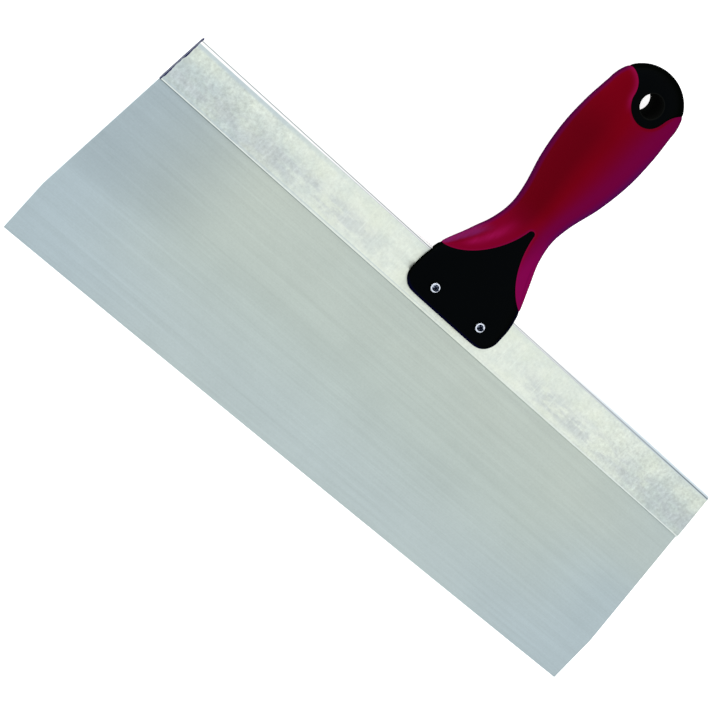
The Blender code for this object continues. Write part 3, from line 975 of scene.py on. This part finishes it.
def cut_end_shade_mask(g, x, y, across, smear):
    """1 on the sheet's cut ends, which are painted dark as shade, and on an uneven sliver beside the left
    one.
    """
    slope = (HALF_TOP_WIDTH - HALF_WIDTH) / (KNIFE_DEPTH - SQUARE_DEPTH)
    side = g.math("ADD", g.math("MULTIPLY", y, slope), HALF_WIDTH - SQUARE_DEPTH * slope)
    inset = g.math("SUBTRACT", side, across)
    sliver = g.span(smear, 0.38, 0.62, 0.00010, 0.00050)
    beside = g.span(g.math("SUBTRACT", sliver, inset), -0.00004, 0.00004)
    beside = g.math("MULTIPLY", beside, g.math("LESS_THAN", x, 0.0))
    return g.math("MAXIMUM", g.cut_face(), beside)


def backing_material():
    """Zinc-coated sheet: pale, speckled and scratched, with a painted highlight along the fold and painted
    shade on the cut ends.
    """
    g = Graph("mottled_backing_zinc")
    x, y, _ = g.axes()
    across = g.math("ABSOLUTE", x)
    speckle = g.noise(700.0, 4.0, 0.7)
    cloud = g.noise(150.0, 5.0, 0.66, None, 2.0)
    smear = g.noise(1.0, 5.0, 0.65, g.stretched(60.0, 200.0, 60.0), 9.0)
    colour = backing_sheet_colour(g, x, y, across, cloud, smear, speckle)
    colour = fold_colour(g, x, y, across, colour, smear)
    colour = lip_colour(g, x, y, colour)
    # Painted shade on the sheet's cut ends.
    colour = g.blend(cut_end_shade_mask(g, x, y, across, smear), colour, CUT_END_SHADE_NAVY)
    rough = g.span(smear, 0.3, 0.7, 0.38, 0.52, smooth=False)
    relief = g.bump(cloud, 0.00010, 0.20, g.bump(speckle, 0.00002, 0.3))
    return g.finish(Base_Color=colour, Metallic=1.0, Roughness=rough, Normal=relief)


def plastic_material():
    """Black moulded plastic with a very fine grain and a faint navy sheen painted on its edges."""
    g = Graph("black_moulded_plastic")
    x, y, _ = g.axes()
    away = g.facing(0.5)
    grain = g.noise(2600.0, 3.0, 0.6)
    wear = g.noise(60.0, 4.0, 0.6, None, 4.0)
    lie = g.add("ShaderNodeNewGeometry")
    lean_x, lean_y, _ = g.axes(lie.outputs["Normal"])
    # Painted sheen: navy on the jaw's faces turned right or towards the working edge.
    painted_edge_light = g.math("MAXIMUM", g.span(lean_x, 0.35, 0.85), g.span(lean_y, -0.30, -0.80))
    painted_edge_light = g.math("MULTIPLY", painted_edge_light, g.span(y, 0.116, 0.104))
    colour = g.blend(painted_edge_light, PLASTIC_BLACK, PLASTIC_SHEEN_NAVY)
    from_hole = g.distance(x, g.math("SUBTRACT", y, HOLE_Y))
    outside_hole = g.span(from_hole, HOLE_RADIUS, HOLE_RADIUS + 0.5 * MM)
    shine = g.math("MULTIPLY", g.span(away, 0.10, 0.40, 0.020, 0.0), outside_hole)
    colour = g.blend(outside_hole, HOLE_BLACK, colour)
    rough = g.span(wear, 0.3, 0.7, 0.40, 0.55, smooth=False)
    relief = g.bump(grain, 0.00003, 0.35)
    return g.finish(
        Base_Color=colour, Roughness=rough, Normal=relief,
        Specular_IOR_Level=shine, Specular_Tint=(0.45, 0.55, 1.0, 1.0),
    )


def rubber_colour(g, x, y):
    """Red on top, with painted sheen from plum to violet down the right side and on the left outline,
    painted highlights and painted shade on the wings beside the tongue, and painted shade at the outline.
    """
    cloud = g.noise(70.0, 3.0, 0.5, None, 6.0)
    streak = g.noise(1.0, 3.0, 0.6, g.stretched(900.0, 90.0, 200.0), 16.0)
    lie = g.add("ShaderNodeNewGeometry")
    tilt = g.axes(lie.outputs["Normal"])[0]
    on_left = g.span(x, 0.003, -0.003)
    colour = g.blend(g.span(cloud, 0.3, 0.7, 0.0, 0.25), RUBBER_RED, RUBBER_DARK)
    shaded = g.math("MULTIPLY", g.span(tilt, 0.02, -0.38), g.span(y, 0.122, 0.135))
    shaded = g.math("MULTIPLY", shaded, g.span(y, 0.196, 0.172, 0.0, 0.95))
    colour = g.blend(shaded, colour, RUBBER_DARK)
    # Painted highlight: the wings beside the tongue are lighter.
    colour = g.blend(g.math("MULTIPLY", g.mark("wing"), 0.85), colour, RUBBER_HIGHLIGHT_CRIMSON)
    # Painted sheen: plum, then violet, on faces turned to the right.
    colour = g.blend(g.span(tilt, -0.10, 0.32), colour, RUBBER_SHEEN_PLUM)
    painted_violet_sheen = g.math("MULTIPLY", g.span(tilt, 0.34, 0.80), g.span(y, 0.192, 0.172, 0.35, 1.0))
    colour = g.blend(painted_violet_sheen, colour, RUBBER_SHEEN_VIOLET)
    # Painted sheen: magenta on the right wing.
    right = g.math("MULTIPLY", g.mark("wing"), g.span(x, 0.002, 0.010, 0.0, 0.95))
    colour = g.blend(right, colour, RUBBER_SHEEN_MAGENTA)
    away = g.facing(0.5)
    # Painted sheen: violet towards the outline on the left.
    painted_rim_sheen = g.math("ADD", g.span(away, 0.27, 0.50, 0.0, 0.42), g.span(away, 0.50, 0.80, 0.0, 0.43))
    colour = g.blend(g.math("MULTIPLY", painted_rim_sheen, on_left), colour, RUBBER_SHEEN_VIOLET)
    # Painted highlight on the left wing beside the tongue.
    painted_crest_highlight = g.math("MULTIPLY", g.mark("painted_crest_highlight"), g.span(streak, 0.35, 0.60, 0.65, 1.0))
    colour = g.blend(g.math("MULTIPLY", painted_crest_highlight, on_left), colour, RUBBER_HIGHLIGHT_ROSE)
    # Painted shade: the left wing's hollow is kept back to the plain red.
    hollow = g.math("MULTIPLY", g.mark("hollow"), on_left)
    colour = g.blend(g.math("MULTIPLY", hollow, 0.7), colour, RUBBER_RED)
    # Painted sheen on the left wing's outer side face.
    side = g.math("MULTIPLY", g.mark("side"), g.span(streak, 0.35, 0.60, 0.6, 1.0))
    colour = g.blend(g.math("MULTIPLY", side, on_left), colour, RUBBER_SHEEN_ORCHID)
    # Painted highlights along the grip's border round the end on the left, and along the border on the
    # neck.
    shoulder = g.math("MULTIPLY", g.mark("shoulder"), g.span(x, -0.005, -0.009, 0.0, 0.7))
    colour = g.blend(shoulder, colour, RUBBER_HIGHLIGHT_ROSE)
    colour = g.blend(g.math("MULTIPLY", g.mark("border"), 0.45), colour, RUBBER_HIGHLIGHT_ROSE)
    # Painted shade: darker towards the outline, most on the left.
    outline = g.math("MULTIPLY", g.span(away, 0.45, 0.75), g.span(on_left, 0.0, 1.0, 0.16, 0.38))
    return g.scaled(colour, g.math("SUBTRACT", 1.0, outline))


def rubber_material():
    """Deep red soft rubber, matt, with a fine moulded grain."""
    g = Graph("red_soft_rubber")
    grain = g.noise(1500.0, 3.0, 0.6)
    wear = g.noise(70.0, 3.0, 0.5, None, 6.0)
    x, y, _ = g.axes()
    colour = rubber_colour(g, x, y)
    rough = g.span(wear, 0.3, 0.7, 0.50, 0.62, smooth=False)
    relief = g.bump(grain, 0.00004, 0.4)
    shine = g.span(g.facing(0.5), 0.12, 0.40, 0.010, 0.0)
    return g.finish(
        Base_Color=colour, Roughness=rough, Normal=relief,
        Specular_IOR_Level=shine, Specular_Tint=(0.9, 0.25, 0.9, 1.0),
    )


def nickel_material():
    """Bright nickel plate with fine scratches, and painted shade in the bore, broken by a few bright
    flecks.
    """
    g = Graph("nickel_plate")
    x, y, z = g.axes()
    off_x = g.math("SUBTRACT", x, g.math("MULTIPLY", g.math("SIGN", x), RIVET_X))
    off_y = g.math("SUBTRACT", y, RIVET_Y)
    radius = g.distance(g.math("SUBTRACT", off_x, BORE_SHADE_SHIFT), off_y)
    scratch = g.noise(2200.0, 4.0, 0.7)
    fleck = g.noise(1100.0, 2.0, 0.5, None, 8.0)
    ragged = g.math("ADD", radius, g.span(fleck, 0.3, 0.7, -0.00025, 0.00025, smooth=False))
    # Painted shade in the rivet's bore, with a ragged rim and bright flecks left bare.
    bore = g.span(ragged, RIVET_BORE + 0.15 * MM, RIVET_BORE - 0.05 * MM)
    painted_bore_shade = g.math("MULTIPLY", bore, g.span(fleck, 0.56, 0.50, 0.15, 1.0))
    painted_bore_shade = g.math("MULTIPLY", painted_bore_shade, g.math("GREATER_THAN", z, RIVET_BOTTOM + HEAD_HEIGHT))
    colour = g.blend(g.span(scratch, 0.45, 0.75, 0.0, 0.5), NICKEL, NICKEL_SHADE)
    colour = g.blend(painted_bore_shade, colour, BORE_SHADE_NAVY)
    rough = g.span(scratch, 0.3, 0.7, 0.14, 0.28, smooth=False)
    relief = g.bump(scratch, 0.00002, 0.4)
    return g.finish(Base_Color=colour, Metallic=1.0, Roughness=rough, Normal=relief)


# ---------------------------------------------------------------- studio

FLOOR_DROP = 0.4 * MM
FLOOR_SIZE = 4.0
CAMERA_PLACE = (-0.3075, 0.1369, 0.7218)
CAMERA_TURN = (-19.989, -11.787, 44.127)  # degrees
CAMERA_LENS = 100.0
CAMERA_SENSOR = 36.0
SKY_STRENGTH = 1.08
FLOOR_GLOW = 0.76


def build_floor():
    """Pale floor just under the handle."""
    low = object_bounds()[0].z - FLOOR_DROP
    half = FLOOR_SIZE / 2.0
    corners = [(-half, -half, low), (half, -half, low), (half, half, low), (-half, half, low)]
    floor = make_object("floor", corners, [(0, 1, 2, 3)])
    g = Graph("pale_floor")
    tone = g.span(g.noise(3.0, 3.0, 0.5), 0.3, 0.7, 0.74, 0.76, smooth=False)
    shade_node = g.add("ShaderNodeCombineColor")
    for socket in shade_node.inputs[:3]:
        g.feed(socket, tone)
    g.finish(
        Base_Color=shade_node.outputs[0], Roughness=0.9, Specular_IOR_Level=0.0,
        Emission_Color=(1.0, 1.0, 1.0, 1.0), Emission_Strength=FLOOR_GLOW,
    )
    floor.data.materials.append(g.material)


def soft_light(name, place, target, size, power, colour=(1.0, 1.0, 1.0)):
    """A square softbox turned towards a point."""
    data = bpy.data.lights.new(name, "AREA")
    data.shape = "SQUARE"
    data.size = size
    data.energy = power
    data.color = colour
    light = bpy.data.objects.new(name, data)
    light.location = place
    light.rotation_euler = (Vector(target) - Vector(place)).to_track_quat("-Z", "Y").to_euler()
    bpy.context.scene.collection.objects.link(light)


def build_studio():
    """White surroundings and a softbox behind the handle's left."""
    world = bpy.data.worlds.new("white_studio")
    bpy.context.scene.world = world
    world.use_nodes = True
    background = world.node_tree.nodes["Background"]
    background.inputs["Color"].default_value = (1.0, 1.0, 1.0, 1.0)
    background.inputs["Strength"].default_value = SKY_STRENGTH
    soft_light("back_softbox", (-0.70, 0.80, 0.90), (0.0, 0.15, 0.0), 0.9, 1.5)
    bpy.context.scene.view_settings.view_transform = "Standard"


def build_camera():
    """The camera, looking down at the front from its left."""
    data = bpy.data.cameras.new("camera")
    data.lens = CAMERA_LENS
    data.sensor_width = CAMERA_SENSOR
    camera = bpy.data.objects.new("camera", data)
    camera.location = CAMERA_PLACE
    camera.rotation_euler = Euler([math.radians(a) for a in CAMERA_TURN], "XYZ")
    bpy.context.scene.collection.objects.link(camera)
    bpy.context.scene.camera = camera


# ---------------------------------------------------------------- main

def place(piece, node, slot, material):
    """Tie a finished piece to the frame and give it its material."""
    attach(piece, "root")
    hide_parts(node)
    piece.data.materials.clear()
    piece.data.materials.append(material)


def build_knife():
    """All six pieces."""
    place(build_blade(), "blade", "blade_steel", blade_material())
    place(build_backing(), "backing", "backing_zinc", backing_material())
    place(build_core(), "handle_core", "core_plastic", plastic_material())
    place(build_grip(), "soft_grip", "grip_rubber", rubber_material())
    nickel = nickel_material()
    for side, x in (("left", -RIVET_X), ("right", RIVET_X)):
        place(build_rivet(f"rivet_nickel_{side}", x), f"rivet_{side}", "rivet_nickel", nickel)


build_knife()
build_floor()
build_studio()
build_camera()
